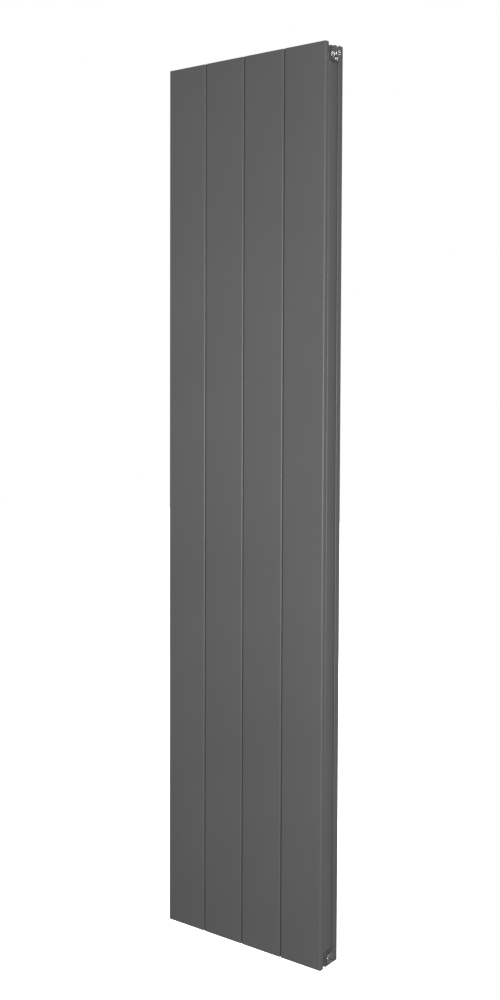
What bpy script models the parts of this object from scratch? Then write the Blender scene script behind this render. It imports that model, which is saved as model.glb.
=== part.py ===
"""Tall double-panel aluminium radiator of four flat sections, with its headers, seals and air vent.

Metres, +Z up, front towards -Y. The origin is the middle of the panels' footprint, at their lower ends.
Each section is one extrusion: a front and a rear panel with folded-in sides, webs, and a core with the
water tube. Cast heads close the tube at both ends, and nipples join the heads into two headers.
"""

import math

import bmesh
import bpy

# ---- driving dimensions -------------------------------------------------------------------------
HEIGHT = 1.800
DEPTH = 0.066
SECTION_COUNT = 4
PANEL_WIDTH = 0.0927
PANEL_GAP = 0.0014
PITCH = PANEL_WIDTH + PANEL_GAP
CLEARANCE = 0.0003  # between pieces that touch
OVERCUT = 0.0030  # how far a cutter reaches past what it cuts
MERGE = 1e-6  # points closer than this are one point

# panels of the extrusion
PANEL_WALL = 0.0018
FRONT_RETURN = 0.0122  # how far the front panel's folded sides reach back from its face
REAR_RETURN = 0.0172  # and how far the rear panel's reach forward
PANEL_CORNER = 0.0030
PANEL_TIP_CORNER = 0.0012  # rounding of the folded sides' free edges

# core of the extrusion: water tube, arms, fins and side walls
TUBE_HALF = 0.0130
TUBE_CORNER = 0.0070
TUBE_BORE = 0.0110
ARM_WALL = 0.0020
ARM_FLARE = 0.0004  # how much thicker, on each face, an arm gets towards the tube
WEB_WALL = 0.0018
WEB_X = 0.0079
FIN_X = (0.0222, 0.0322)
FIN_WALL = 0.0016
FIN_REACH = 0.0090
SIDE_WALL = 0.0020
SIDE_WALL_GAP = 0.0003  # between the side wall and the rear panel's folded side
SIDE_WALL_X = PANEL_WIDTH / 2 - PANEL_WALL - SIDE_WALL_GAP  # the side wall's outer face
SIDE_WALL_FRONT = 0.0160  # the side wall's reach towards the front, where it folds in
SIDE_WALL_REAR = DEPTH / 2 - REAR_RETURN + SIDE_WALL  # its end, behind the tip of the folded side
SIDE_WALL_CORNER = 0.0018
SIDE_WALL_FOLD = 0.0032
WELD_OVERLAP = 0.0005  # how far a web runs into the panel that it is part of

# cast heads and the two headers they form
HEAD_HEIGHT = 0.0280
HEAD_DEPTH = 0.0280
HEAD_JOINT = 0.0013  # between two heads, filled by a gasket
HEAD_LENGTH = PITCH - HEAD_JOINT
HEAD_EDGE = 0.0012
TOP_RECESS = 0.0043  # from the panels' upper ends down to the head
BOTTOM_RECESS = 0.0005
THREAD_RADIUS = 0.0102
THREAD_DEPTH = 0.0140
WATERWAY_RADIUS = 0.0075
TAPPING_DEPTH = 0.0100
SPIGOT_RADIUS = 0.0106
SPIGOT_LENGTH = 0.0140
RING_GROOVE_RADIUS = 0.0094
RING_GROOVE_WIDTH = 0.0022
RING_GROOVE_DROP = 0.0060  # from the head's face to the middle of the groove

TOP_AXIS_Z = HEIGHT - TOP_RECESS - HEAD_HEIGHT / 2
BOTTOM_AXIS_Z = BOTTOM_RECESS + HEAD_HEIGHT / 2
CORE_TOP = TOP_AXIS_Z - HEAD_HEIGHT / 2 - CLEARANCE
CORE_BOTTOM = BOTTOM_AXIS_Z + HEAD_HEIGHT / 2 + CLEARANCE
HEADER_END = (SECTION_COUNT - 1) * PITCH / 2 + HEAD_LENGTH / 2

# seals, nipples and the flow diverter
RING_SECTION = 0.0006  # radius of the rubber itself
RING_RADIUS = 0.01015  # from the tube's axis to the middle of the rubber
GASKET_WALL = 0.0017
GASKET_INNER = 0.0102
JOINT_GASKET_THICKNESS = HEAD_JOINT - 2 * CLEARANCE
NIPPLE_RADIUS = 0.0099
NIPPLE_BORE = 0.0074
NIPPLE_LENGTH = 0.0240
DIVERTER_THICKNESS = 0.0030
DIVERTER_LIP = 0.0015

# plugs
PLUG_SEAL_THICKNESS = 0.0008
PLUG_FACE = HEADER_END + PLUG_SEAL_THICKNESS + 2 * CLEARANCE
PLUG_THREAD_LENGTH = 0.0100
PLUG_CHAMFER = 0.0010
BLANK_RADIUS = 0.0120
BLANK_THICKNESS = 0.0020
BLANK_CHAMFER = 0.0006
BLANK_SLOT_WIDTH = 0.0032
BLANK_SLOT_DEPTH = 0.0030
BLANK_SLOT_TURN = math.radians(34)

# air vent: plug, turning spout and bleed screw on one axis
VENT_COLLAR_RADIUS = 0.0155
VENT_COLLAR = 0.0012
VENT_HEX_FLATS = 0.0240
VENT_HEX = 0.0023
VENT_HEX_CHAMFER = 0.0006
VENT_BOSS_RADIUS = 0.0043
VENT_BOSS = 0.0010
VENT_HOLE = 0.0030
VENT_CAVITY = 0.0050
VENT_CAVITY_DEPTH = 0.0070
VENT_FACE = PLUG_FACE + VENT_COLLAR + VENT_HEX
SPOUT_RADIUS = 0.0095
SPOUT_HOLE = VENT_BOSS_RADIUS + CLEARANCE
SPOUT_THICKNESS = 0.0039
SPOUT_CHAMFER = 0.0008
NOZZLE_RADIUS = 0.0019
NOZZLE_BORE = 0.0009
NOZZLE_REACH = 0.0155
NOZZLE_FACETS = 12
SCREW_SQUARE = 0.0050
SCREW_SQUARE_BEVEL = 0.0003
SCREW_SLOT_WIDTH = 0.0010
SCREW_SLOT_DEPTH = 0.0004
SCREW_HEAD = 0.0026
SCREW_RADIUS = VENT_HOLE - CLEARANCE
SCREW_NECK = 0.0022
SCREW_NECK_LENGTH = 0.0005
SCREW_SHANK = 0.0110
SCREW_TIP = 0.0020
SCREW_TIP_RADIUS = 0.0009

# facets
ROUND = 32
FINE = 24
COARSE = 16  # for the water passages inside the heads
RING_FACETS = 5
CORNER_STEPS = 4
HEXAGON_SIDES = 6
SHARP_ANGLE = math.radians(30)


# ---- scene and materials ------------------------------------------------------------------------
def clear_scene():
    for old in list(bpy.data.objects):
        bpy.data.objects.remove(old, do_unlink=True)


def new_collection(name):
    made = bpy.data.collections.new(name)
    bpy.context.scene.collection.children.link(made)
    return made


def principled(name, colour, roughness, metallic):
    made = bpy.data.materials.new(name)
    made.use_nodes = True
    shader = made.node_tree.nodes["Principled BSDF"]
    shader.inputs["Base Color"].default_value = (*colour, 1)
    shader.inputs["Roughness"].default_value = roughness
    shader.inputs["Metallic"].default_value = metallic
    made.diffuse_color = (*colour, 1)
    return made


# ---- outlines and solids ------------------------------------------------------------------------
def arc(centre, radius, start, end, steps=CORNER_STEPS):
    """Points on an arc, with start and end in degrees."""
    angles = [math.radians(start + (end - start) * i / steps) for i in range(steps + 1)]
    return [(centre[0] + radius * math.cos(a), centre[1] + radius * math.sin(a)) for a in angles]


def mirrored(quarter):
    """A closed outline from its quarter, which runs from beside the X axis round to the Y axis."""
    left = [(-x, y) for x, y in reversed(quarter)]
    upper = quarter + left
    return upper + [(-x, -y) for x, y in upper]


def without_repeats(points):
    kept = []
    for point in points:
        if not kept or math.dist(point, kept[-1]) > MERGE:
            kept.append(point)
    if math.dist(kept[0], kept[-1]) < MERGE:
        kept.pop()
    return kept


def prism(name, outlines, bottom, top):
    """Flat outlines in the XY plane, the second and later ones as holes, from bottom to top along Z."""
    flat = bpy.data.curves.new(name, "CURVE")
    flat.dimensions = "2D"
    flat.fill_mode = "BOTH"
    flat.extrude = (top - bottom) / 2
    for outline in outlines:
        points = without_repeats(outline)
        spline = flat.splines.new("POLY")
        spline.points.add(len(points) - 1)
        for point, (x, y) in zip(spline.points, points):
            point.co = (x, y, 0, 1)
        spline.use_cyclic_u = True
    piece = bpy.data.objects.new(name, flat)
    piece.location.z = (top + bottom) / 2
    bpy.context.scene.collection.objects.link(piece)
    return as_mesh(piece)


def as_mesh(piece):
    """The evaluated object as a mesh object with its transform applied; the original is removed."""
    bpy.context.view_layer.update()
    evaluated = piece.evaluated_get(bpy.context.evaluated_depsgraph_get())
    mesh = bpy.data.meshes.new_from_object(evaluated)
    mesh.transform(piece.matrix_world)
    solid = bmesh.new()
    solid.from_mesh(mesh)
    bmesh.ops.remove_doubles(solid, verts=solid.verts, dist=MERGE)
    bmesh.ops.recalc_face_normals(solid, faces=solid.faces)
    solid.to_mesh(mesh)
    solid.free()
    name = piece.name
    bpy.data.objects.remove(piece, do_unlink=True)
    made = bpy.data.objects.new(name, mesh)
    bpy.context.scene.collection.objects.link(made)
    return made


def turned(name, profile, facets=FINE, closed=False):
    """A solid turned about the X axis. The profile is (distance along X, radius) from +X to -X."""
    mesh = bpy.data.meshes.new(name)
    count = len(profile)
    edges = [(i, i + 1) for i in range(count - 1)]
    if closed:
        edges.append((count - 1, 0))
    mesh.from_pydata([(radius, 0, along) for along, radius in profile], edges, [])
    piece = bpy.data.objects.new(name, mesh)
    screw = piece.modifiers.new("turn", "SCREW")
    screw.steps = facets
    screw.render_steps = facets
    screw.use_merge_vertices = True
    screw.merge_threshold = MERGE
    piece.rotation_euler.y = math.pi / 2
    bpy.context.scene.collection.objects.link(piece)
    return as_mesh(piece)


def ring(name, inner, outer, thickness):
    """A flat washer round the X axis, centred on the origin."""
    half = thickness / 2
    profile = [(half, inner), (half, outer), (-half, outer), (-half, inner)]
    return turned(name, profile, closed=True)


def cylinder(name, radius, length, axis="Z", facets=FINE):
    """A cylinder centred on the origin, its length along X or Z."""
    mesh = bpy.data.meshes.new(name)
    solid = bmesh.new()
    bmesh.ops.create_cone(
        solid, cap_ends=True, segments=facets, radius1=radius, radius2=radius, depth=length
    )
    solid.to_mesh(mesh)
    solid.free()
    piece = bpy.data.objects.new(name, mesh)
    if axis == "X":
        piece.rotation_euler.y = math.pi / 2
    bpy.context.scene.collection.objects.link(piece)
    return as_mesh(piece)


def box(name, size, centre=(0, 0, 0)):
    mesh = bpy.data.meshes.new(name)
    solid = bmesh.new()
    bmesh.ops.create_cube(solid, size=1)
    bmesh.ops.scale(solid, vec=size, verts=solid.verts)
    bmesh.ops.translate(solid, vec=centre, verts=solid.verts)
    solid.to_mesh(mesh)
    solid.free()
    piece = bpy.data.objects.new(name, mesh)
    bpy.context.scene.collection.objects.link(piece)
    return piece


def bevelled(piece, width):
    bevel = piece.modifiers.new("edges", "BEVEL")
    bevel.width = width
    bevel.segments = 1
    bevel.limit_method = "ANGLE"
    bevel.angle_limit = SHARP_ANGLE
    return as_mesh(piece)


def moved(piece, x=0.0, y=0.0, z=0.0):
    piece.location = (x, y, z)
    return as_mesh(piece)


def combined(piece, others, operation):
    """The piece joined with, or cut by, each of the others, which are used up."""
    for other in others:
        change = piece.modifiers.new(operation.lower(), "BOOLEAN")
        change.operation = operation
        change.solver = "EXACT"
        change.object = other
    made = as_mesh(piece)
    for other in others:
        bpy.data.objects.remove(other, do_unlink=True)
    return made


def joined(piece, *others):
    return combined(piece, others, "UNION")


def cut(piece, *others):
    return combined(piece, others, "DIFFERENCE")


# ---- the extruded section -----------------------------------------------------------------------
def panel_outline(side, reach):
    """A panel at the front for side -1, at the rear for side 1, with sides that reach that far."""
    half, face = PANEL_WIDTH / 2, DEPTH / 2
    tip = face - reach
    corner = (half - PANEL_CORNER, face - PANEL_CORNER)
    tip_corner = (half - PANEL_TIP_CORNER, tip + PANEL_TIP_CORNER)
    outer = arc(tip_corner, PANEL_TIP_CORNER, -90, 0) + arc(corner, PANEL_CORNER, 0, 90)
    inner = arc(corner, PANEL_CORNER - PANEL_WALL, 90, 0) + [(half - PANEL_WALL, tip)]
    left_outer = [(-x, y) for x, y in reversed(outer)]
    left_inner = [(-x, y) for x, y in reversed(inner)]
    return [(x, side * y) for x, y in outer + left_outer + left_inner + inner]


def arm_half(x):
    """Half of an arm's thickness, which flares towards the tube."""
    inner_side = SIDE_WALL_X - SIDE_WALL
    share = (inner_side - x) / (inner_side - TUBE_HALF)
    return ARM_WALL / 2 + ARM_FLARE * share**2


def folded_wall_end():
    """The side wall's front end, rounded and folded in towards the tube."""
    inner_side, front = SIDE_WALL_X - SIDE_WALL, SIDE_WALL_FRONT
    corner = (SIDE_WALL_X - SIDE_WALL_CORNER, front - SIDE_WALL_CORNER)
    fold_tip = SIDE_WALL_X - SIDE_WALL_FOLD
    return arc(corner, SIDE_WALL_CORNER, 0, 90) + [
        (fold_tip, front),
        (fold_tip, front - FIN_WALL),
        (inner_side, front - FIN_WALL),
    ]


def core_quarter(wall_end):
    """A quarter of the core's outline, from the side wall's end round to the top of the tube."""
    web = WEB_WALL / 2
    inner_side = SIDE_WALL_X - SIDE_WALL
    points = wall_end + [(inner_side, arm_half(inner_side))]
    for x in reversed(FIN_X):
        outer, inner = x + FIN_WALL / 2, x - FIN_WALL / 2
        points += [(outer, arm_half(outer)), (outer, FIN_REACH)]
        points += [(inner, FIN_REACH), (inner, arm_half(inner))]
    corner = TUBE_HALF - TUBE_CORNER
    right, left = WEB_X + web, WEB_X - web
    right_angle = math.degrees(math.acos((right - corner) / TUBE_CORNER))
    left_angle = math.degrees(math.acos((left - corner) / TUBE_CORNER))
    web_end = DEPTH / 2 - PANEL_WALL + WELD_OVERLAP
    points.append((TUBE_HALF, arm_half(TUBE_HALF)))
    points += arc((corner, corner), TUBE_CORNER, 0, right_angle)
    points += [(right, web_end), (left, web_end)]
    points += arc((corner, corner), TUBE_CORNER, left_angle, 90, steps=1)
    return points


def core_outline():
    """The core's outline: a rear quarter and a front quarter, each with its mirror image."""
    rear_end = [(SIDE_WALL_X, SIDE_WALL_REAR), (SIDE_WALL_X - SIDE_WALL, SIDE_WALL_REAR)]
    rear_right = core_quarter(rear_end)
    front_right = [(x, -y) for x, y in reversed(core_quarter(folded_wall_end()))]
    right = front_right + rear_right
    return right + [(-x, y) for x, y in reversed(right)]


def section_mesh(finish):
    front = prism("front_panel", [panel_outline(-1, FRONT_RETURN)], 0, HEIGHT)
    rear = prism("rear_panel", [panel_outline(1, REAR_RETURN)], 0, HEIGHT)
    bore = arc((0, 0), TUBE_BORE, 0, 360, steps=ROUND)
    core = prism("core", [core_outline(), bore], CORE_BOTTOM, CORE_TOP)
    return finished(joined(front, rear, core), finish)


# ---- cast heads, nipples and seals --------------------------------------------------------------
def head_mesh(finish, tapped):
    """A head with its bore along X and its spigot pointing down. A tapped one also opens upwards."""
    half = HEAD_HEIGHT / 2
    edge = HEAD_DEPTH / 2
    quarter = [(half, edge - HEAD_EDGE), (half - HEAD_EDGE, edge)]
    block = prism("block", [mirrored(quarter)], -HEAD_LENGTH / 2, HEAD_LENGTH / 2)
    block.rotation_euler.y = math.pi / 2
    block = as_mesh(block)
    root = half - HEAD_EDGE
    spigot_end = half + SPIGOT_LENGTH
    spigot = cylinder("spigot", SPIGOT_RADIUS, spigot_end - root)
    spigot = moved(spigot, z=-(root + spigot_end) / 2)
    groove = cut(
        cylinder("groove", SPIGOT_RADIUS + OVERCUT, RING_GROOVE_WIDTH),
        cylinder("groove_floor", RING_GROOVE_RADIUS, RING_GROOVE_WIDTH + OVERCUT),
    )
    groove = moved(groove, z=-(half + RING_GROOVE_DROP))
    way_length = HEAD_LENGTH + OVERCUT
    waterway = cylinder("waterway", WATERWAY_RADIUS, way_length, axis="X", facets=COARSE)
    threads = [
        moved(cylinder("thread", THREAD_RADIUS, THREAD_DEPTH * 2, axis="X"), x=side * HEAD_LENGTH / 2)
        for side in (-1, 1)
    ]
    drop_length = spigot_end + OVERCUT
    drop = cylinder("drop", WATERWAY_RADIUS, drop_length, facets=COARSE)
    drop = moved(drop, z=-drop_length / 2)
    cutters = [groove, waterway, drop] + threads
    if tapped:
        cutters.append(moved(cylinder("tapping", THREAD_RADIUS, TAPPING_DEPTH * 2), z=half))
        cutters.append(moved(cylinder("rise", WATERWAY_RADIUS, half, facets=COARSE), z=half / 2))
    return finished(cut(joined(block, spigot), *cutters), finish)


def nipple_mesh(finish):
    return finished(ring("nipple", NIPPLE_BORE, NIPPLE_RADIUS, NIPPLE_LENGTH), finish)


def joint_gasket_mesh(finish):
    outer = GASKET_INNER + GASKET_WALL
    return finished(ring("gasket", GASKET_INNER, outer, JOINT_GASKET_THICKNESS), finish)


def plug_seal_mesh(finish):
    outer = GASKET_INNER + GASKET_WALL
    return finished(ring("seal", GASKET_INNER, outer, PLUG_SEAL_THICKNESS), finish)


def tube_ring_mesh(finish):
    """A sealing ring round the X axis, with a round section."""
    section = arc((0, RING_RADIUS), RING_SECTION, 90, 450, steps=RING_FACETS)[:-1]
    return finished(turned("tube_ring", section, closed=True), finish)


def diverter_mesh(finish):
    """A cup-shaped stopper that closes one nipple, so that the water climbs the first section."""
    radius = NIPPLE_BORE - CLEARANCE
    half = DIVERTER_THICKNESS / 2
    profile = [
        (half, 0),
        (half, radius - DIVERTER_LIP),
        (half + DIVERTER_LIP, radius - DIVERTER_LIP / 2),
        (half + DIVERTER_LIP, radius),
        (-half, radius),
        (-half, 0),
    ]
    return finished(turned("diverter", profile), finish)


# ---- plugs and the air vent ---------------------------------------------------------------------
def blanking_plug_mesh(finish):
    """A plug facing +X, with the flange's inner face at the origin and a wide slot across it."""
    profile = [
        (BLANK_THICKNESS, 0),
        (BLANK_THICKNESS, BLANK_RADIUS - BLANK_CHAMFER),
        (BLANK_THICKNESS - BLANK_CHAMFER, BLANK_RADIUS),
        (0, BLANK_RADIUS),
        (0, NIPPLE_RADIUS),
        (-PLUG_THREAD_LENGTH + PLUG_CHAMFER, NIPPLE_RADIUS),
        (-PLUG_THREAD_LENGTH, NIPPLE_RADIUS - PLUG_CHAMFER),
        (-PLUG_THREAD_LENGTH, 0),
    ]
    plug = turned("plug", profile, facets=ROUND)
    slot = box("slot", (BLANK_SLOT_DEPTH * 2, (BLANK_RADIUS + OVERCUT) * 2, BLANK_SLOT_WIDTH))
    slot.rotation_euler.x = -BLANK_SLOT_TURN
    return finished(cut(plug, moved(slot, x=BLANK_THICKNESS)), finish)


def vent_plug_mesh(finish):
    """The vent's threaded body facing +X: collar, hexagon and boss, drilled through for the screw."""
    collar_top, hex_top = VENT_COLLAR, VENT_COLLAR + VENT_HEX
    boss_top = hex_top + VENT_BOSS
    body_profile = [
        (boss_top, 0),
        (boss_top, VENT_BOSS_RADIUS),
        (VENT_COLLAR / 2, VENT_BOSS_RADIUS),
        (VENT_COLLAR / 2, NIPPLE_RADIUS),
        (-PLUG_THREAD_LENGTH + PLUG_CHAMFER, NIPPLE_RADIUS),
        (-PLUG_THREAD_LENGTH, NIPPLE_RADIUS - PLUG_CHAMFER),
        (-PLUG_THREAD_LENGTH, 0),
    ]
    collar_profile = [
        (collar_top, 0),
        (collar_top, VENT_COLLAR_RADIUS),
        (0, VENT_COLLAR_RADIUS),
        (0, 0),
    ]
    corner = VENT_HEX_FLATS / 2 / math.cos(math.pi / HEXAGON_SIDES)
    hexagon = cylinder("hexagon", corner, VENT_HEX * 2, axis="X", facets=HEXAGON_SIDES)
    hexagon = moved(hexagon, x=hex_top - VENT_HEX)
    cone_profile = [
        (hex_top, 0),
        (hex_top, VENT_HEX_FLATS / 2),
        (hex_top - VENT_HEX, corner + VENT_HEX_CHAMFER),
        (hex_top - VENT_HEX * 2, corner + VENT_HEX_CHAMFER),
        (hex_top - VENT_HEX * 2, 0),
    ]
    hexagon = combined(hexagon, [turned("chamfer", cone_profile, facets=ROUND)], "INTERSECT")
    below = box("below", (VENT_HEX, corner * 3, corner * 3))
    hexagon = cut(hexagon, moved(below, x=(VENT_COLLAR - VENT_HEX) / 2))
    body = turned("body", body_profile, facets=ROUND)
    collar = turned("collar", collar_profile, facets=ROUND)
    plug = joined(body, collar, hexagon)
    hole = cylinder("hole", VENT_HOLE, (PLUG_THREAD_LENGTH + OVERCUT) * 2, axis="X")
    cavity = cylinder("cavity", VENT_CAVITY, VENT_CAVITY_DEPTH * 2, axis="X")
    cavity = moved(cavity, x=-PLUG_THREAD_LENGTH)
    return finished(cut(plug, hole, cavity), finish)


def spout_mesh(finish):
    """The turning outlet ring, its back face at the origin and its nozzle pointing down."""
    profile = [
        (SPOUT_THICKNESS, SPOUT_HOLE),
        (SPOUT_THICKNESS, SPOUT_RADIUS - SPOUT_CHAMFER),
        (SPOUT_THICKNESS - SPOUT_CHAMFER, SPOUT_RADIUS),
        (0, SPOUT_RADIUS),
        (0, SPOUT_HOLE),
    ]
    body = turned("spout", profile, facets=ROUND, closed=True)
    start = (SPOUT_HOLE + SPOUT_RADIUS) / 2
    length = NOZZLE_REACH - start
    nozzle = cylinder("nozzle", NOZZLE_RADIUS, length, facets=NOZZLE_FACETS)
    nozzle = moved(nozzle, x=SPOUT_THICKNESS / 2, z=-(start + length / 2))
    outlet_top, outlet_end = SPOUT_HOLE / 2, NOZZLE_REACH + OVERCUT
    outlet = cylinder("outlet", NOZZLE_BORE, outlet_end - outlet_top, facets=NOZZLE_FACETS)
    outlet = moved(outlet, x=SPOUT_THICKNESS / 2, z=-(outlet_top + outlet_end) / 2)
    return finished(cut(joined(body, nozzle), outlet), finish)


def bleed_screw_mesh(finish):
    """The bleed screw facing +X, with the back of its square head at the origin."""
    shank_profile = [
        (SCREW_HEAD / 2, 0),
        (SCREW_HEAD / 2, SCREW_NECK),
        (-SCREW_NECK_LENGTH, SCREW_NECK),
        (-SCREW_NECK_LENGTH, SCREW_RADIUS),
        (-SCREW_SHANK + SCREW_TIP, SCREW_RADIUS),
        (-SCREW_SHANK, SCREW_TIP_RADIUS),
        (-SCREW_SHANK, 0),
    ]
    shank = turned("shank", shank_profile)
    square = box("square", (SCREW_HEAD, SCREW_SQUARE, SCREW_SQUARE), (SCREW_HEAD / 2, 0, 0))
    square = bevelled(square, SCREW_SQUARE_BEVEL)
    slot = box("slot", (SCREW_SLOT_DEPTH * 2, SCREW_SQUARE + OVERCUT, SCREW_SLOT_WIDTH))
    slot = moved(slot, x=SCREW_HEAD)
    return finished(cut(joined(shank, square), slot), finish)


# ---- putting it together ------------------------------------------------------------------------
def finished(piece, finish):
    """The piece's mesh, smooth where it is round, with its material; the object is used up."""
    mesh = piece.data
    bpy.data.objects.remove(piece, do_unlink=True)
    mesh.materials.clear()
    mesh.materials.append(finish)
    mesh.shade_smooth()
    mesh.set_sharp_from_angle(angle=SHARP_ANGLE)
    return mesh


def place(collection, origin, name, mesh, location, rotation=(0, 0, 0)):
    piece = bpy.data.objects.new(name, mesh)
    piece.location = location
    piece.rotation_euler = rotation
    piece.parent = origin
    collection.objects.link(piece)


def section_x(index):
    return (index - (SECTION_COUNT - 1) / 2) * PITCH


def joint_x(index):
    return section_x(index) + PITCH / 2


def main():
    clear_scene()
    parts = new_collection("radiator")
    origin = bpy.data.objects.new("radiator_origin", None)
    parts.objects.link(origin)

    paint = principled("anthracite_powder_coat", (0.115, 0.115, 0.117), 0.55, 0.1)
    head_paint = principled("anthracite_head_coat", (0.105, 0.105, 0.107), 0.6, 0.1)
    chrome = principled("chrome", (0.75, 0.75, 0.76), 0.15, 1.0)
    steel = principled("zinc_plated_steel", (0.60, 0.60, 0.58), 0.4, 1.0)
    brass = principled("nickel_plated_brass", (0.68, 0.64, 0.55), 0.3, 1.0)
    rubber = principled("black_rubber", (0.03, 0.03, 0.03), 0.8, 0.0)
    fibre = principled("red_fibre", (0.30, 0.08, 0.05), 0.8, 0.0)

    def put(name, mesh, location, rotation=(0, 0, 0)):
        place(parts, origin, name, mesh, location, rotation)

    section = section_mesh(paint)
    head = head_mesh(head_paint, tapped=False)
    tapped_head = head_mesh(head_paint, tapped=True)
    ring_mesh = tube_ring_mesh(rubber)
    flip = (math.pi, 0, 0)
    stand = (0, math.pi / 2, 0)
    ring_drop = HEAD_HEIGHT / 2 + RING_GROOVE_DROP
    for i in range(SECTION_COUNT):
        x = section_x(i)
        number = i + 1
        put(f"section_{number}", section, (x, 0, 0))
        put(f"top_head_{number}", head, (x, 0, TOP_AXIS_Z))
        outermost = i in (0, SECTION_COUNT - 1)
        lower = tapped_head if outermost else head
        put(f"bottom_head_{number}", lower, (x, 0, BOTTOM_AXIS_Z), flip)
        put(f"top_tube_seal_{number}", ring_mesh, (x, 0, TOP_AXIS_Z - ring_drop), stand)
        put(f"bottom_tube_seal_{number}", ring_mesh, (x, 0, BOTTOM_AXIS_Z + ring_drop), stand)

    nipple = nipple_mesh(steel)
    gasket = joint_gasket_mesh(fibre)
    for i in range(SECTION_COUNT - 1):
        x = joint_x(i)
        number = i + 1
        for level, z in (("top", TOP_AXIS_Z), ("bottom", BOTTOM_AXIS_Z)):
            put(f"{level}_nipple_{number}", nipple, (x, 0, z))
            put(f"{level}_joint_gasket_{number}", gasket, (x, 0, z))
    put("flow_diverter", diverter_mesh(rubber), (joint_x(0), 0, BOTTOM_AXIS_Z))

    seal = plug_seal_mesh(rubber)
    blank = blanking_plug_mesh(chrome)
    turn_left = (0, 0, math.pi)
    corners = (
        ("top_left", -1, TOP_AXIS_Z),
        ("top_right", 1, TOP_AXIS_Z),
        ("bottom_left", -1, BOTTOM_AXIS_Z),
        ("bottom_right", 1, BOTTOM_AXIS_Z),
    )
    for corner, side, z in corners:
        seal_x = HEADER_END + CLEARANCE + PLUG_SEAL_THICKNESS / 2
        put(f"{corner}_plug_seal", seal, (side * seal_x, 0, z))
        if corner != "top_right":
            turn = turn_left if side < 0 else (0, 0, 0)
            put(f"{corner}_blanking_plug", blank, (side * PLUG_FACE, 0, z), turn)

    put("vent_plug", vent_plug_mesh(chrome), (PLUG_FACE, 0, TOP_AXIS_Z))
    put("vent_spout", spout_mesh(chrome), (VENT_FACE + CLEARANCE, 0, TOP_AXIS_Z))
    screw_x = VENT_FACE + VENT_BOSS + CLEARANCE
    put("bleed_screw", bleed_screw_mesh(brass), (screw_x, 0, TOP_AXIS_Z))


main()
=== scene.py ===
"""Looks of the tall aluminium radiator, in a white studio.

Powder-coated sections, cast heads, chrome plugs and an air vent. Everything is in metres in the
frame's own axes: +Z up, front towards -Y. Positions come from the frame.
"""

import math

import bmesh
import bpy
from mathutils import Matrix, Vector


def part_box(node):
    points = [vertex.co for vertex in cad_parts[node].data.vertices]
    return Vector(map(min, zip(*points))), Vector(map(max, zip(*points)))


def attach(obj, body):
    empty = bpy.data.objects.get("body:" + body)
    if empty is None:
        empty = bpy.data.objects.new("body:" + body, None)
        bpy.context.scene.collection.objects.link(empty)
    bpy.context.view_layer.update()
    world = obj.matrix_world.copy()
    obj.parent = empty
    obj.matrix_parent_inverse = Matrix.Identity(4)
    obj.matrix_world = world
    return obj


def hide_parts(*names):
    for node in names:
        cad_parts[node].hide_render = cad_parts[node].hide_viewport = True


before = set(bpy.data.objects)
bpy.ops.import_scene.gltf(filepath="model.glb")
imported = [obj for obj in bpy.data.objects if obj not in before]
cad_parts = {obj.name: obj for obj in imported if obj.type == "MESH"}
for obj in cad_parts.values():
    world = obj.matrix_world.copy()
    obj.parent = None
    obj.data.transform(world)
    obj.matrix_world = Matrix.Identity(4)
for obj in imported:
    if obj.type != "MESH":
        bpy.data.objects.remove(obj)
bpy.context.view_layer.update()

BODY = "radiator"
LEVELS = ("top", "bottom")
SECTIONS = sorted(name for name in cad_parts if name.startswith("section_"))
COUNT = len(SECTIONS)

# ---- sizes read from the frame ------------------------------------------------------------------
def middle(node):
    low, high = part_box(node)
    return (low + high) / 2


SECTION_LOW, SECTION_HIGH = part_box("section_1")
PANEL_WIDTH = SECTION_HIGH.x - SECTION_LOW.x
DEPTH = SECTION_HIGH.y - SECTION_LOW.y
HEIGHT = SECTION_HIGH.z
HEAD_LOW, HEAD_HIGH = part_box("top_head_1")
HEAD_LENGTH = HEAD_HIGH.x - HEAD_LOW.x
HEAD_DEPTH = HEAD_HIGH.y - HEAD_LOW.y
TOP_AXIS_Z = middle("top_nipple_1").z
BOTTOM_AXIS_Z = middle("bottom_nipple_1").z
HEAD_HEIGHT = 2 * (HEAD_HIGH.z - TOP_AXIS_Z)

# ---- sizes of the shapes ------------------------------------------------------------------------
CLEARANCE = 0.0003
PANEL_WALL = 0.0018
FRONT_RETURN = 0.0122
REAR_RETURN = 0.0172
PANEL_CORNER = 0.0030
PANEL_TIP_CORNER = 0.0012
CUT_EDGE = 0.00025  # deburred edge left by the saw

TUBE_HALF = 0.0130
TUBE_CORNER = 0.0070
TUBE_BORE = 0.0110
ARM_WALL = 0.0020
ARM_FLARE = 0.0004
WEB_WALL = 0.0018
WEB_X = 0.0079
FIN_X = (0.0222, 0.0322)
FIN_WALL = 0.0016
FIN_REACH = 0.0090
SIDE_WALL = 0.0020
SIDE_WALL_GAP = 0.0003
SIDE_WALL_X = PANEL_WIDTH / 2 - PANEL_WALL - SIDE_WALL_GAP
SIDE_WALL_FRONT = 0.0160
SIDE_WALL_REAR = DEPTH / 2 - REAR_RETURN + SIDE_WALL
SIDE_WALL_CORNER = 0.0018
SIDE_WALL_FOLD = 0.0032
WELD_OVERLAP = 0.0005

HEAD_CORNER = 0.0014
HEAD_COLLAR = 0.0075  # length of the full section at each end of a head
HEAD_WAIST = 0.0009  # how far the casting draws in between its collars
HEAD_FILLET = 0.0005
TAPPING_BOSS = 0.0118
TAPPING_DEPTH = 0.0100
WATERWAY = 0.0075
THREAD_OUTER = 0.0104
THREAD_INNER = 0.0093
THREAD_PITCH = 0.001814  # of a G1/2 thread

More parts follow.
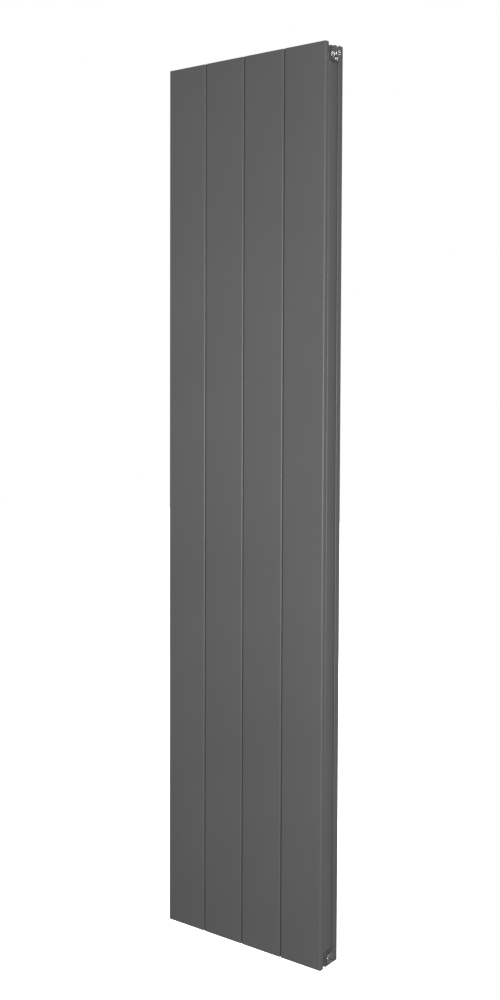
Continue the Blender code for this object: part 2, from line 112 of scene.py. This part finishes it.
GASKET_INNER = 0.0102
GASKET_OUTER = 0.0119
WASHER_CHAMFERS = 3  # how many chamfers make up half a washer's thickness
PLUG_BODY = 0.0099
BLANK_RADIUS = 0.0120
BLANK_THICKNESS = 0.0020
BLANK_CHAMFER = 0.0006
BLANK_SLOT_WIDTH = 0.0032
BLANK_SLOT_DEPTH = 0.0030
BLANK_SLOT_TURN = math.radians(34)

VENT_COLLAR_RADIUS = 0.0155
VENT_COLLAR = 0.0012
VENT_HEX_FLATS = 0.0240
VENT_HEX = 0.0023
HEXAGON_SIDES = 6
HEXAGON_CHAMFER = 0.6  # how steeply the chamfer falls over the corners
VENT_BOSS_RADIUS = 0.0043
VENT_BOSS = 0.0010
SPOUT_RADIUS = 0.0095
SPOUT_HOLE = 0.0046
SPOUT_THICKNESS = 0.0039
SPOUT_CROWN = 0.0006  # the drop from the spout's face to its rounded rim
SPOUT_NOTCHES = 10
SPOUT_NOTCH = 0.0009
NOTCH_OFFSET = 0.4  # how far a notch's centre lies outside the rim, as a share of its radius
NOZZLE_RADIUS = 0.0019
NOZZLE_BORE = 0.0010
NOZZLE_REACH = 0.0155
NOZZLE_WAIST = 0.86  # the nozzle's narrowest place as a share of its radius
SCREW_SQUARE = 0.0050
SCREW_HEAD = 0.0026
SCREW_NECK = 0.0022
SCREW_SHANK = 0.0060
SCREW_CORNER = 0.0003
SCREW_SLOT_DEPTH = 0.3  # as a share of the head's length
SCREW_SLOT_WIDTH = 0.18  # as a share of the square's side
EDGE = 0.0002  # small rounding on turned and milled pieces
BURR = EDGE / 2  # rounding of their sharp rims

# ---- how finely shapes are made -----------------------------------------------------------------
FINE = 96  # facets round a piece that shows
MEDIUM = 48
COARSE = 16
CORNER_STEPS = 10
FOLD_STEPS = 6
HEAD_STEPS = 5
SHORT_STEPS = 2
MERGE = 1e-6  # points closer than this are one point
LONG_CUT = 3  # how many times longer a cutter is than what it cuts

# Angles in degrees: edges sharper than these are rounded, or stay sharp in the shading
MILLED_ANGLE = 30
CASTING_ANGLE = 40
SAWN_ANGLE = 50
SLOT_ANGLE = 60
SHADED_ANGLE = 35


# ---- materials ----------------------------------------------------------------------------------
class Shading:
    """A node material around one Principled shader, with short ways to add its procedural detail."""

    def __init__(self, name, metallic=0.0, specular=0.5):
        self.material = bpy.data.materials.new(name)
        self.material.use_nodes = True
        self.tree = self.material.node_tree
        self.shader = self.tree.nodes["Principled BSDF"]
        self.shader.inputs["Metallic"].default_value = metallic
        self.shader.inputs["Specular IOR Level"].default_value = specular
        self.place = self.tree.nodes.new("ShaderNodeTexCoord").outputs["Object"]

    def noise(self, scale, detail=2.0, roughness=0.5, stretch=None):
        source = self.place
        if stretch:
            mapping = self.tree.nodes.new("ShaderNodeMapping")
            mapping.inputs["Scale"].default_value = stretch
            self.tree.links.new(source, mapping.inputs["Vector"])
            source = mapping.outputs["Vector"]
        node = self.tree.nodes.new("ShaderNodeTexNoise")
        node.inputs["Scale"].default_value = scale
        node.inputs["Detail"].default_value = detail
        node.inputs["Roughness"].default_value = roughness
        self.tree.links.new(source, node.inputs["Vector"])
        return node.outputs["Fac"]

    def ramp(self, value, low, high, start=0.35, end=0.65):
        """Maps a 0..1 value to numbers or colours between low and high."""
        node = self.tree.nodes.new("ShaderNodeValToRGB")
        first, last = node.color_ramp.elements
        first.position, last.position = start, end
        first.color = (*low, 1) if isinstance(low, tuple) else (low, low, low, 1)
        last.color = (*high, 1) if isinstance(high, tuple) else (high, high, high, 1)
        self.tree.links.new(value, node.inputs["Fac"])
        return node.outputs["Color"]

    def blend(self, first, second, share=0.5):
        node = self.tree.nodes.new("ShaderNodeMix")
        node.inputs["Factor"].default_value = share
        self.tree.links.new(first, node.inputs["A"])
        self.tree.links.new(second, node.inputs["B"])
        return node.outputs["Result"]

    def bump(self, *layers):
        """Each layer is (height output, depth in metres), the first one nearest the surface's base."""
        below = None
        for height, depth in layers:
            node = self.tree.nodes.new("ShaderNodeBump")
            node.inputs["Strength"].default_value = 1.0
            node.inputs["Distance"].default_value = depth
            self.tree.links.new(height, node.inputs["Height"])
            if below:
                self.tree.links.new(below, node.inputs["Normal"])
            below = node.outputs["Normal"]
        self.tree.links.new(below, self.shader.inputs["Normal"])

    def feed(self, socket, output):
        self.tree.links.new(output, self.shader.inputs[socket])


def grey(value, warm=1.0, cool=1.0):
    return (value * warm, value, value * cool)


def powder_coat():
    """Fine-textured anthracite coat on the extrusions."""
    s = Shading("panel_powder_coat", specular=0.5)
    cloud = s.noise(3.5, detail=3)
    grain = s.noise(1400, detail=2, roughness=0.6)
    colour = s.blend(cloud, grain, share=0.55)
    s.feed("Base Color", s.ramp(colour, grey(0.0560), grey(0.0640), start=0.36, end=0.64))
    s.feed("Roughness", s.ramp(s.blend(s.noise(18, detail=3), grain, share=0.4), 0.47, 0.57))
    s.bump((s.noise(260, detail=2), 0.000020), (grain, 0.000016))
    return s.material


def head_coat():
    """The same coat over the rougher skin of a casting."""
    s = Shading("head_powder_coat", specular=0.45)
    grain = s.noise(1100, detail=3, roughness=0.65)
    s.feed("Base Color", s.ramp(s.blend(s.noise(40), grain), grey(0.048), grey(0.060)))
    s.feed("Roughness", s.ramp(grain, 0.52, 0.66))
    s.bump((s.noise(320, detail=3), 0.00006), (grain, 0.00003))
    return s.material


def polished_chrome():
    s = Shading("polished_chrome", metallic=1.0)
    haze = s.noise(300, detail=4)
    s.feed("Base Color", s.ramp(haze, grey(0.52, 0.99, 1.01), grey(0.62, 0.99, 1.01)))
    s.feed("Roughness", s.ramp(s.noise(900, detail=3), 0.09, 0.20))
    s.bump((s.noise(600, detail=2, stretch=(0.3, 1, 1)), 0.000010))
    return s.material


def satin_chrome():
    s = Shading("satin_chrome", metallic=1.0)
    brushed = s.noise(1500, detail=3, stretch=(0.08, 1, 1))
    s.feed("Base Color", s.ramp(brushed, grey(0.46), grey(0.56)))
    s.feed("Roughness", s.ramp(brushed, 0.22, 0.34))
    s.bump((brushed, 0.000012))
    return s.material


def plated_steel():
    s = Shading("zinc_plated_steel", metallic=1.0)
    bloom = s.noise(220, detail=4)
    s.feed("Base Color", s.ramp(bloom, grey(0.46, 1.02, 0.96), grey(0.60, 1.02, 0.96)))
    s.feed("Roughness", s.ramp(s.noise(700), 0.32, 0.48))
    s.bump((s.noise(1500), 0.00002))
    return s.material


def nickel_brass():
    s = Shading("nickel_plated_brass", metallic=1.0)
    wear = s.noise(500, detail=4)
    s.feed("Base Color", s.ramp(wear, (0.62, 0.55, 0.42), (0.68, 0.65, 0.58)))
    s.feed("Roughness", s.ramp(wear, 0.24, 0.38))
    s.bump((s.noise(1600), 0.00001))
    return s.material


def black_rubber():
    s = Shading("black_rubber", specular=0.35)
    bloom = s.noise(350, detail=4)
    s.feed("Base Color", s.ramp(bloom, grey(0.012), grey(0.026)))
    s.feed("Roughness", s.ramp(bloom, 0.60, 0.80))
    s.bump((s.noise(1800), 0.00003))
    return s.material


def pressed_fibre():
    s = Shading("pressed_fibre", specular=0.3)
    fibres = s.noise(900, detail=5, roughness=0.7)
    s.feed("Base Color", s.ramp(fibres, (0.16, 0.045, 0.03), (0.27, 0.09, 0.06)))
    s.feed("Roughness", s.ramp(fibres, 0.75, 0.95))
    s.bump((fibres, 0.00006))
    return s.material


def studio_floor():
    s = Shading("studio_floor", specular=0.2)
    s.feed("Base Color", s.ramp(s.noise(2.0, detail=4), grey(0.90), grey(0.93)))
    s.feed("Roughness", s.ramp(s.noise(6.0, detail=3), 0.75, 0.9))
    s.shader.inputs["Emission Color"].default_value = (1, 1, 1, 1)
    s.shader.inputs["Emission Strength"].default_value = 1.0
    return s.material


PANEL_COAT = powder_coat()
HEAD_COAT = head_coat()
CHROME = polished_chrome()
SATIN = satin_chrome()
STEEL = plated_steel()
BRASS = nickel_brass()
RUBBER = black_rubber()
FIBRE = pressed_fibre()


# ---- outlines and solids ------------------------------------------------------------------------
def arc(centre, radius, start, end, steps=CORNER_STEPS):
    """Points on an arc, with start and end in degrees."""
    angles = [math.radians(start + (end - start) * i / steps) for i in range(steps + 1)]
    return [(centre[0] + radius * math.cos(a), centre[1] + radius * math.sin(a)) for a in angles]


def mirrored(quarter):
    """A closed outline from its quarter, which runs from beside the X axis round to the Y axis."""
    left = [(-x, y) for x, y in reversed(quarter)]
    upper = quarter + left
    return upper + [(-x, -y) for x, y in upper]


def without_repeats(points):
    kept = []
    for point in points:
        if not kept or math.dist(point, kept[-1]) > MERGE:
            kept.append(point)
    if math.dist(kept[0], kept[-1]) < MERGE:
        kept.pop()
    return kept


def linked(name, data):
    made = bpy.data.objects.new(name, data)
    bpy.context.scene.collection.objects.link(made)
    return made


def as_mesh(piece):
    """The evaluated object as a mesh object with its transform applied; the original is removed."""
    bpy.context.view_layer.update()
    evaluated = piece.evaluated_get(bpy.context.evaluated_depsgraph_get())
    mesh = bpy.data.meshes.new_from_object(evaluated)
    mesh.transform(piece.matrix_world)
    solid = bmesh.new()
    solid.from_mesh(mesh)
    bmesh.ops.remove_doubles(solid, verts=solid.verts, dist=MERGE)
    bmesh.ops.recalc_face_normals(solid, faces=solid.faces)
    solid.to_mesh(mesh)
    solid.free()
    name = piece.name
    bpy.data.objects.remove(piece, do_unlink=True)
    return linked(name, mesh)


def prism(name, outlines, bottom, top):
    """Flat outlines in the XY plane, the second and later ones as holes, from bottom to top along Z."""
    flat = bpy.data.curves.new(name, "CURVE")
    flat.dimensions = "2D"
    flat.fill_mode = "BOTH"
    flat.extrude = (top - bottom) / 2
    for outline in outlines:
        points = without_repeats(outline)
        spline = flat.splines.new("POLY")
        spline.points.add(len(points) - 1)
        for point, (x, y) in zip(spline.points, points):
            point.co = (x, y, 0, 1)
        spline.use_cyclic_u = True
    piece = linked(name, flat)
    piece.location.z = (top + bottom) / 2
    return as_mesh(piece)


def turned(name, profile, facets=FINE, closed=False):
    """A solid turned about the X axis. The profile is (distance along X, radius) from +X to -X."""
    mesh = bpy.data.meshes.new(name)
    count = len(profile)
    edges = [(i, i + 1) for i in range(count - 1)]
    if closed:
        edges.append((count - 1, 0))
    mesh.from_pydata([(radius, 0, along) for along, radius in profile], edges, [])
    piece = linked(name, mesh)
    screw = piece.modifiers.new("turn", "SCREW")
    screw.steps = facets
    screw.render_steps = facets
    screw.use_merge_vertices = True
    screw.merge_threshold = MERGE
    piece.rotation_euler.y = math.pi / 2
    return as_mesh(piece)


def cylinder(name, radius, length, axis="Z", facets=MEDIUM):
    mesh = bpy.data.meshes.new(name)
    solid = bmesh.new()
    bmesh.ops.create_cone(
        solid, cap_ends=True, segments=facets, radius1=radius, radius2=radius, depth=length
    )
    solid.to_mesh(mesh)
    solid.free()
    piece = linked(name, mesh)
    if axis == "X":
        piece.rotation_euler.y = math.pi / 2
    return as_mesh(piece)


def box(name, size, centre=(0, 0, 0)):
    mesh = bpy.data.meshes.new(name)
    solid = bmesh.new()
    bmesh.ops.create_cube(solid, size=1)
    bmesh.ops.scale(solid, vec=size, verts=solid.verts)
    bmesh.ops.translate(solid, vec=centre, verts=solid.verts)
    solid.to_mesh(mesh)
    solid.free()
    return linked(name, mesh)


def moved(piece, x=0.0, y=0.0, z=0.0, turn=None):
    """The piece turned by an (angle, axis) pair and moved, with its transform applied."""
    matrix = Matrix.Translation((x, y, z))
    if turn:
        matrix = matrix @ Matrix.Rotation(turn[0], 4, turn[1])
    piece.data.transform(matrix)
    return piece


def combined(piece, others, operation):
    for other in others:
        change = piece.modifiers.new(operation.lower(), "BOOLEAN")
        change.operation = operation
        change.solver = "EXACT"
        change.object = other
    made = as_mesh(piece)
    for other in others:
        bpy.data.objects.remove(other, do_unlink=True)
    return made


def joined(piece, *others):
    return combined(piece, others, "UNION")


def cut(piece, *others):
    return combined(piece, others, "DIFFERENCE")


def bevelled(piece, width, segments=2, angle=MILLED_ANGLE):
    bevel = piece.modifiers.new("edges", "BEVEL")
    bevel.width = width
    bevel.segments = segments
    bevel.limit_method = "ANGLE"
    bevel.angle_limit = math.radians(angle)
    bevel.use_clamp_overlap = True
    return as_mesh(piece)


def smooth(piece):
    piece.data.shade_smooth()
    piece.data.set_sharp_from_angle(angle=math.radians(SHADED_ANGLE))


def dressed(piece, material, slot, body, *nodes):
    """Gives a finished piece its material and its place in the frame."""
    piece.data.materials.clear()
    piece.data.materials.append(material)
    smooth(piece)
    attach(piece, body)
    if nodes:
        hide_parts(*nodes)


def copy_of(piece, name):
    return linked(name, piece.data.copy())


# ---- extruded sections --------------------------------------------------------------------------
def panel_outline(side, reach):
    """A panel at the front for side -1, at the rear for side 1, with sides that reach that far."""
    half, face = PANEL_WIDTH / 2, DEPTH / 2
    tip = face - reach
    corner = (half - PANEL_CORNER, face - PANEL_CORNER)
    tip_corner = (half - PANEL_TIP_CORNER, tip + PANEL_TIP_CORNER)
    outer = arc(tip_corner, PANEL_TIP_CORNER, -90, 0) + arc(corner, PANEL_CORNER, 0, 90)
    inner = arc(corner, PANEL_CORNER - PANEL_WALL, 90, 0) + [(half - PANEL_WALL, tip)]
    left_outer = [(-x, y) for x, y in reversed(outer)]
    left_inner = [(-x, y) for x, y in reversed(inner)]
    return [(x, side * y) for x, y in outer + left_outer + left_inner + inner]


def arm_half(x):
    """Half of an arm's thickness, which flares towards the tube."""
    inner_side = SIDE_WALL_X - SIDE_WALL
    share = (inner_side - x) / (inner_side - TUBE_HALF)
    return ARM_WALL / 2 + ARM_FLARE * share**2


def folded_wall_end():
    """The side wall's front end, rounded and folded in towards the tube."""
    inner_side, front = SIDE_WALL_X - SIDE_WALL, SIDE_WALL_FRONT
    corner = (SIDE_WALL_X - SIDE_WALL_CORNER, front - SIDE_WALL_CORNER)
    fold_tip = SIDE_WALL_X - SIDE_WALL_FOLD
    return arc(corner, SIDE_WALL_CORNER, 0, 90, steps=FOLD_STEPS) + [
        (fold_tip, front),
        (fold_tip, front - FIN_WALL),
        (inner_side, front - FIN_WALL),
    ]


def core_quarter(wall_end):
    """A quarter of the core's outline, from the side wall's end round to the top of the tube."""
    web = WEB_WALL / 2
    inner_side = SIDE_WALL_X - SIDE_WALL
    points = wall_end + [(inner_side, arm_half(inner_side))]
    for x in reversed(FIN_X):
        outer, inner = x + FIN_WALL / 2, x - FIN_WALL / 2
        points += [(outer, arm_half(outer)), (outer, FIN_REACH)]
        points += [(inner, FIN_REACH), (inner, arm_half(inner))]
    corner = TUBE_HALF - TUBE_CORNER
    right, left = WEB_X + web, WEB_X - web
    right_angle = math.degrees(math.acos((right - corner) / TUBE_CORNER))
    left_angle = math.degrees(math.acos((left - corner) / TUBE_CORNER))
    web_end = DEPTH / 2 - PANEL_WALL + WELD_OVERLAP
    points.append((TUBE_HALF, arm_half(TUBE_HALF)))
    points += arc((corner, corner), TUBE_CORNER, 0, right_angle)
    points += [(right, web_end), (left, web_end)]
    points += arc((corner, corner), TUBE_CORNER, left_angle, 90, steps=SHORT_STEPS)
    return points


def core_outline():
    """The core's outline: a rear quarter and a front quarter, each with its mirror image."""
    rear_end = [(SIDE_WALL_X, SIDE_WALL_REAR), (SIDE_WALL_X - SIDE_WALL, SIDE_WALL_REAR)]
    rear_right = core_quarter(rear_end)
    front_right = [(x, -y) for x, y in reversed(core_quarter(folded_wall_end()))]
    right = front_right + rear_right
    return right + [(-x, y) for x, y in reversed(right)]


def make_sections():
    core_top = TOP_AXIS_Z - HEAD_HEIGHT / 2 - CLEARANCE
    core_bottom = BOTTOM_AXIS_Z + HEAD_HEIGHT / 2 + CLEARANCE
    front = prism("front", [panel_outline(-1, FRONT_RETURN)], 0, HEIGHT)
    rear = prism("rear", [panel_outline(1, REAR_RETURN)], 0, HEIGHT)
    bore = arc((0, 0), TUBE_BORE, 0, 360, steps=MEDIUM)
    core = prism("core", [core_outline(), bore], core_bottom, core_top)
    pattern = bevelled(joined(front, rear, core), CUT_EDGE, angle=SAWN_ANGLE)
    for node in SECTIONS:
        piece = moved(copy_of(pattern, f"{node}_extrusion"), x=middle(node).x)
        dressed(piece, PANEL_COAT, "panel_coat", BODY, node)
    bpy.data.objects.remove(pattern, do_unlink=True)


# ---- cast heads and their gaskets ---------------------------------------------------------------
def rounded_outline(half_height, half_depth, radius):
    quarter = arc((half_height - radius, half_depth - radius), radius, 0, 90, steps=HEAD_STEPS)
    return mirrored(quarter)


def along_x(piece):
    return moved(piece, turn=(math.pi / 2, "Y"))


def threaded_cutter(depth):
    """A tapped hole about the X axis, open at the origin and running towards +X."""
    profile = [(depth + WATERWAY, 0), (depth + WATERWAY, WATERWAY), (depth, WATERWAY)]
    turns = int(depth / THREAD_PITCH)
    for i in range(turns, 0, -1):
        profile.append((i * THREAD_PITCH, THREAD_INNER))
        profile.append(((i - 0.5) * THREAD_PITCH, THREAD_OUTER))
    profile += [(0, THREAD_OUTER), (-depth, THREAD_OUTER), (-depth, 0)]
    return turned("thread", profile)


def head_block(tapped):
    half, deep = HEAD_HEIGHT / 2, HEAD_DEPTH / 2
    full = rounded_outline(half, deep, HEAD_CORNER)
    drawn = rounded_outline(half - HEAD_WAIST, deep - HEAD_WAIST, HEAD_CORNER)
    waist = along_x(prism("waist", [drawn], -HEAD_LENGTH / 2 + EDGE, HEAD_LENGTH / 2 - EDGE))
    collars = []
    for side in (-1, 1):
        near, far = side * (HEAD_LENGTH / 2 - HEAD_COLLAR), side * HEAD_LENGTH / 2
        collars.append(along_x(prism("collar", [full], min(near, far), max(near, far))))
    extras = []
    if tapped:
        boss = cylinder("boss", TAPPING_BOSS, half, facets=FINE)
        extras.append(moved(boss, z=-half / 2))
    block = bevelled(joined(waist, *collars, *extras), HEAD_FILLET, angle=CASTING_ANGLE)
    if tapped:
        tapping = moved(threaded_cutter(TAPPING_DEPTH), z=-half, turn=(-math.pi / 2, "Y"))
        block = cut(block, tapping)
    return block


def make_heads():
    for level in LEVELS:
        for number in range(1, COUNT + 1):
            node = f"{level}_head_{number}"
            tapped = level == "bottom" and number in (1, COUNT)
            axis_z = TOP_AXIS_Z if level == "top" else BOTTOM_AXIS_Z
            piece = moved(head_block(tapped), x=middle(node).x, z=axis_z)
            piece.name = f"{node}_casting"
            dressed(piece, HEAD_COAT, "head_coat", BODY, node)


def flat_ring(name, node, inner, outer):
    low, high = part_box(node)
    half = (high.x - low.x) / 2
    chamfer = half / WASHER_CHAMFERS
    profile = [
        (half, inner),
        (half, outer - chamfer),
        (half - chamfer, outer),
        (-half + chamfer, outer),
        (-half, outer - chamfer),
        (-half, inner),
    ]
    centre = middle(node)
    return moved(turned(name, profile, closed=True), x=centre.x, y=centre.y, z=centre.z)


def make_gaskets():
    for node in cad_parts:
        if "joint_gasket" in node:
            ring = flat_ring(f"{node}_washer", node, GASKET_INNER, GASKET_OUTER)
            dressed(ring, FIBRE, "gasket_fibre", BODY, node)
        if "plug_seal" in node:
            ring = flat_ring(f"{node}_washer", node, GASKET_INNER, GASKET_OUTER)
            dressed(ring, RUBBER, "rubber", BODY, node)


# ---- plugs --------------------------------------------------------------------------------------
def blanking_plug():
    """A plug facing +X, with the flange's inner face at the origin and a wide slot across it."""
    profile = [
        (BLANK_THICKNESS, 0),
        (BLANK_THICKNESS, BLANK_RADIUS - BLANK_CHAMFER - EDGE),
        (BLANK_THICKNESS - BURR, BLANK_RADIUS - BLANK_CHAMFER),
        (BLANK_THICKNESS - BLANK_CHAMFER, BLANK_RADIUS - BURR),
        (BLANK_THICKNESS - BLANK_CHAMFER - EDGE, BLANK_RADIUS),
        (EDGE, BLANK_RADIUS),
        (0, BLANK_RADIUS - EDGE),
        (0, PLUG_BODY),
        (-PLUG_BODY / 2, PLUG_BODY),
        (-PLUG_BODY / 2, 0),
    ]
    slot = box("slot", (BLANK_SLOT_DEPTH * 2, BLANK_RADIUS * LONG_CUT, BLANK_SLOT_WIDTH))
    slot = moved(slot, x=BLANK_THICKNESS, turn=(-BLANK_SLOT_TURN, "X"))
    return bevelled(cut(turned("blank", profile), slot), BURR, angle=SAWN_ANGLE)


def make_blanking_plugs():
    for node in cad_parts:
        if not node.endswith("blanking_plug"):
            continue
        low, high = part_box(node)
        centre = middle(node)
        right = centre.x > 0
        face = high.x - BLANK_THICKNESS if right else low.x + BLANK_THICKNESS
        turn = (0.0 if right else math.pi, "Z")
        piece = moved(blanking_plug(), x=face, z=centre.z, turn=turn)
        piece.name = f"{node}_turned"
        dressed(piece, SATIN, "chrome", BODY, node)


def hexagonal_flange(flats, thickness):
    """A hexagon about the X axis with a cone-chamfered outer face, from the origin towards +X."""
    corner = flats / 2 / math.cos(math.pi / HEXAGON_SIDES)
    hexagon = cylinder("hexagon", corner, thickness, axis="X", facets=HEXAGON_SIDES)
    hexagon = moved(hexagon, x=thickness / 2)
    cone = [
        (thickness, 0),
        (thickness, flats / 2 - EDGE),
        (thickness - (corner - flats / 2) * HEXAGON_CHAMFER, corner + EDGE),
        (-EDGE, corner + EDGE),
        (-EDGE, 0),
    ]
    return combined(hexagon, [turned("cone", cone)], "INTERSECT")


def make_vent_plug():
    low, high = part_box("vent_plug")
    start = high.x - VENT_COLLAR - VENT_HEX - VENT_BOSS
    collar_profile = [
        (VENT_COLLAR, 0),
        (VENT_COLLAR, VENT_COLLAR_RADIUS - EDGE * 2),
        (VENT_COLLAR - BURR, VENT_COLLAR_RADIUS - BURR),
        (VENT_COLLAR - EDGE * 2, VENT_COLLAR_RADIUS),
        (EDGE, VENT_COLLAR_RADIUS),
        (0, VENT_COLLAR_RADIUS - EDGE),
        (0, PLUG_BODY),
        (-PLUG_BODY / 2, PLUG_BODY),
        (-PLUG_BODY / 2, 0),
    ]
    boss_profile = [
        (VENT_COLLAR + VENT_HEX + VENT_BOSS, 0),
        (VENT_COLLAR + VENT_HEX + VENT_BOSS, VENT_BOSS_RADIUS - EDGE),
        (VENT_COLLAR + VENT_HEX + VENT_BOSS - EDGE, VENT_BOSS_RADIUS),
        (VENT_COLLAR, VENT_BOSS_RADIUS),
        (VENT_COLLAR, 0),
    ]
    hexagon = moved(hexagonal_flange(VENT_HEX_FLATS, VENT_HEX + EDGE), x=VENT_COLLAR - EDGE)
    plug = joined(turned("collar", collar_profile), hexagon, turned("boss", boss_profile))
    plug = bevelled(plug, BURR, angle=SAWN_ANGLE)
    plug = moved(plug, x=start, z=TOP_AXIS_Z)
    plug.name = "vent_plug_turned"
    dressed(plug, CHROME, "chrome", BODY, "vent_plug")


def make_vent_spout():
    """The turning outlet ring with finger notches, and its nozzle pointing down."""
    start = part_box("vent_spout")[0].x
    crown = SPOUT_THICKNESS - SPOUT_CROWN
    profile = [
        (SPOUT_THICKNESS, SPOUT_HOLE + EDGE),
        (SPOUT_THICKNESS, SPOUT_RADIUS - SPOUT_CROWN * 2),
        (SPOUT_THICKNESS - EDGE, SPOUT_RADIUS - SPOUT_CROWN),
        (crown, SPOUT_RADIUS - EDGE),
        (crown - EDGE * 2, SPOUT_RADIUS),
        (EDGE, SPOUT_RADIUS),
        (0, SPOUT_RADIUS - EDGE),
        (0, SPOUT_HOLE),
        (SPOUT_THICKNESS - EDGE, SPOUT_HOLE),
    ]
    body = turned("spout", profile, closed=True)
    notches = []
    reach = SPOUT_RADIUS + SPOUT_NOTCH * NOTCH_OFFSET
    for i in range(SPOUT_NOTCHES):
        angle = 2 * math.pi * (i + 0.5) / SPOUT_NOTCHES + math.pi / 2
        notch = cylinder("notch", SPOUT_NOTCH, SPOUT_THICKNESS * LONG_CUT, axis="X", facets=COARSE)
        notches.append(moved(notch, y=reach * math.cos(angle), z=reach * math.sin(angle)))
    body = cut(body, *notches)
    length = NOZZLE_REACH - SPOUT_HOLE - EDGE
    tube = [
        (length, NOZZLE_BORE + EDGE),
        (length, NOZZLE_RADIUS - EDGE),
        (length - EDGE, NOZZLE_RADIUS),
        (length - NOZZLE_RADIUS, NOZZLE_RADIUS * NOZZLE_WAIST),
        (EDGE, NOZZLE_RADIUS),
        (0, NOZZLE_RADIUS),
        (0, NOZZLE_BORE),
        (length - EDGE, NOZZLE_BORE),
    ]
    nozzle = moved(turned("nozzle", tube, facets=MEDIUM, closed=True), turn=(math.pi / 2, "Y"))
    nozzle = moved(nozzle, x=SPOUT_THICKNESS / 2, z=-SPOUT_HOLE - EDGE)
    piece = moved(joined(body, nozzle), x=start, z=TOP_AXIS_Z)
    piece.name = "vent_spout_ring"
    dressed(piece, CHROME, "chrome", "vent_spout", "vent_spout")


def make_bleed_screw():
    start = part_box("bleed_screw")[1].x - SCREW_HEAD
    shank_profile = [
        (SCREW_HEAD / 2, 0),
        (SCREW_HEAD / 2, SCREW_NECK),
        (-SCREW_SHANK, SCREW_NECK),
        (-SCREW_SHANK, 0),
    ]
    shank = turned("shank", shank_profile)
    square = box("square", (SCREW_HEAD, SCREW_SQUARE, SCREW_SQUARE), (SCREW_HEAD / 2, 0, 0))
    square = bevelled(square, SCREW_CORNER, segments=3)
    slot_size = (SCREW_HEAD * SCREW_SLOT_DEPTH * 2, SCREW_SQUARE * 2, SCREW_SQUARE * SCREW_SLOT_WIDTH)
    slotted = cut(joined(shank, square), moved(box("slot", slot_size), x=SCREW_HEAD))
    piece = moved(bevelled(slotted, EDGE / 3, angle=SLOT_ANGLE), x=start, z=TOP_AXIS_Z)
    piece.name = "bleed_screw_square"
    dressed(piece, BRASS, "nickel_brass", "bleed_screw", "bleed_screw")


# ---- pieces kept from the frame -----------------------------------------------------------------
def finish_hidden_nodes():
    """The frame's own meshes stay for the pieces inside the headers, with a finished material."""
    finishes = {"nipple": STEEL, "tube_seal": RUBBER, "diverter": RUBBER}
    for name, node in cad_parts.items():
        for key, material in finishes.items():
            if key in name:
                node.data.materials.clear()
                node.data.materials.append(material)


# ---- studio -------------------------------------------------------------------------------------
CAMERA_PLACE = (1.39094, -2.05944, 1.15867)
CAMERA_YAW = math.radians(38.67398)
CAMERA_PITCH = math.radians(-2.50113)
CAMERA_LENS = 43.80299
CAMERA_SHIFT = (0.09670, -0.06774)
SENSOR_WIDTH = 36

FLOOR_Z = -0.20
FLOOR_SIZE = (16, 16, 0.02)
BACKDROP = 1.0  # brightness of the white surroundings as the camera sees them
AMBIENT = 0.72  # the soft light that the surroundings give
REFLECTED = 0.22  # the dimmer room that shows in polished surfaces

# name, place, what it faces, width and height, power in watts
SOFTBOXES = (
    ("key", (1.9, -2.6, 1.2), (0, 0, 1.0), (0.9, 1.1), 102),
    ("right_fill", (2.6, -1.3, 1.2), (0, 0, 1.0), (0.9, 1.8), 46),
    ("left_fill", (-2.2, -2.6, 1.4), (0, 0, 0.9), (1.8, 2.2), 8),
    ("rear_fill", (-1.8, 2.8, 1.4), (0, 0, 0.9), (1.8, 2.2), 60),
)


def make_camera():
    data = bpy.data.cameras.new("camera")
    data.sensor_width = SENSOR_WIDTH
    data.lens = CAMERA_LENS
    data.shift_x, data.shift_y = CAMERA_SHIFT
    camera = linked("camera", data)
    camera.location = CAMERA_PLACE
    camera.rotation_euler = (math.pi / 2 + CAMERA_PITCH, 0, CAMERA_YAW)
    bpy.context.scene.camera = camera


def make_world():
    """White to the camera, soft light on matt surfaces, and a dimmer room in reflections."""
    world = bpy.data.worlds.new("studio")
    world.use_nodes = True
    nodes, links = world.node_tree.nodes, world.node_tree.links

    def background(strength):
        node = nodes.new("ShaderNodeBackground")
        node.inputs["Color"].default_value = (1, 1, 1, 1)
        node.inputs["Strength"].default_value = strength
        return node.outputs[0]

    def chosen(ray, otherwise, wanted):
        mix = nodes.new("ShaderNodeMixShader")
        links.new(path.outputs[ray], mix.inputs[0])
        links.new(otherwise, mix.inputs[1])
        links.new(wanted, mix.inputs[2])
        return mix.outputs[0]

    path = nodes.new("ShaderNodeLightPath")
    light = chosen("Is Glossy Ray", background(AMBIENT), background(REFLECTED))
    everything = chosen("Is Camera Ray", light, background(BACKDROP))
    links.new(everything, nodes["World Output"].inputs["Surface"])
    bpy.context.scene.world = world


def softbox(name, place, target, size, power):
    data = bpy.data.lights.new(name, "AREA")
    data.shape = "RECTANGLE"
    data.size, data.size_y = size
    data.energy = power
    light = linked(name, data)
    light.location = place
    light.rotation_euler = (Vector(target) - Vector(place)).to_track_quat("-Z", "Y").to_euler()
    light.visible_camera = False


def make_studio():
    scene = bpy.context.scene
    scene.view_settings.view_transform = "Standard"
    scene.view_settings.look = "None"
    make_world()
    floor = box("studio_floor", FLOOR_SIZE, (0, 0, FLOOR_Z))
    floor.data.materials.append(studio_floor())
    floor.visible_diffuse = False
    floor.visible_glossy = False
    for name, place, target, size, power in SOFTBOXES:
        softbox(name, place, target, size, power)


make_camera()
make_sections()
make_heads()
make_gaskets()
make_blanking_plugs()
make_vent_plug()
make_vent_spout()
make_bleed_screw()
finish_hidden_nodes()
make_studio()
